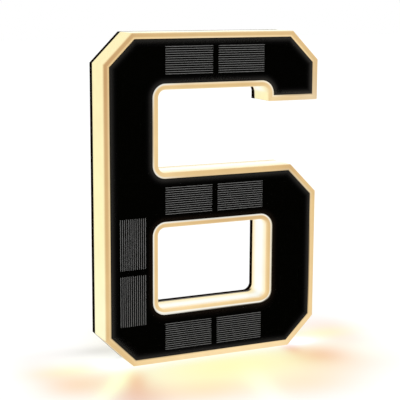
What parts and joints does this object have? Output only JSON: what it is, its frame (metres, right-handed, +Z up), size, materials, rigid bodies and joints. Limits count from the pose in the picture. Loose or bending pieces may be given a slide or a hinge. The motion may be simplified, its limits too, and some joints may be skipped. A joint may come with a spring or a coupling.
{
  "type": "illuminated house number sign",
  "caption": "Free-standing or wall-hung digit six with a solar panel front, glowing milky walls, a black back cover with keyholes and a mode button.",
  "frame": {"origin": "middle of the foot, half way through the depth", "axes": "+Z up, the lit front faces -Y, +X to the right seen from the front"},
  "size_m": [0.1422, 0.023, 0.2],
  "materials": {
    "milky_diffuser": "satin milky plastic, glowing warm white from inside",
    "clear_film": "clear front film, soft gloss",
    "panel_black": "black solar board, soft gloss",
    "solar_cell": "dark silicon with pale grey finger lines",
    "foam_tape": "thin foam adhesive tape",
    "red_lead": "insulated lead",
    "silicone": "grey silicone rubber",
    "white_frame": "white reflecting plastic",
    "strip_board": "flexible light strip, white",
    "lamp_phosphor": "warm white lamp with yellow phosphor",
    "tray_black": "black moulded plastic",
    "battery_can": "green sleeve over a metal can, bright ends",
    "plated_steel": "nickel plated steel",
    "circuit_green": "green solder mask",
    "chip_black": "black moulded package",
    "ferrite": "dark ferrite",
    "connector_ivory": "ivory moulded plastic",
    "button_grey": "dark grey soft plastic",
    "cover_black": "black moulded plastic, fine texture",
    "screw_black": "black oxide steel"
  },
  "bodies": {
    "case": {"diffuser_housing": "milky_diffuser", "front_film": "clear_film", "solar_board": "panel_black", "solar_cell_top_left": "solar_cell", "solar_cell_top_right": "solar_cell", "solar_cell_middle_left": "solar_cell", "solar_cell_middle_right": "solar_cell", "solar_cell_stem_upper": "solar_cell", "solar_cell_stem_lower": "solar_cell", "solar_cell_bottom_left": "solar_cell", "solar_cell_bottom_right": "solar_cell", "panel_tape": "foam_tape", "panel_leads": "red_lead", "lead_seal": "silicone", "inner_frame": "white_frame", "led_strip_outer": "strip_board", "led_strip_inner": "strip_board", "leds_outer": "lamp_phosphor", "leds_inner": "lamp_phosphor", "strip_leads": "red_lead", "battery_tray": "tray_black", "battery_upper": "battery_can", "battery_lower": "battery_can", "contact_plates": "plated_steel", "contact_spring": "plated_steel", "battery_leads": "red_lead", "control_board": "circuit_green", "controller_chip": "chip_black", "charge_coil": "ferrite", "wire_connectors": "connector_ivory", "board_screws": "plated_steel", "mode_switch": "chip_black", "button_seal": "silicone", "cover_gasket": "silicone", "back_cover": "cover_black", "cover_screws": "screw_black"},
    "button": {"mode_button": "button_grey", "switch_plunger": "connector_ivory"}
  },
  "joints": [
    {"name": "button_press", "type": "slide", "parent": "case", "child": "button", "axis": [0, -1, 0], "range_m": [0, 0.001], "stiffness_N_per_m": 600}
  ]
}
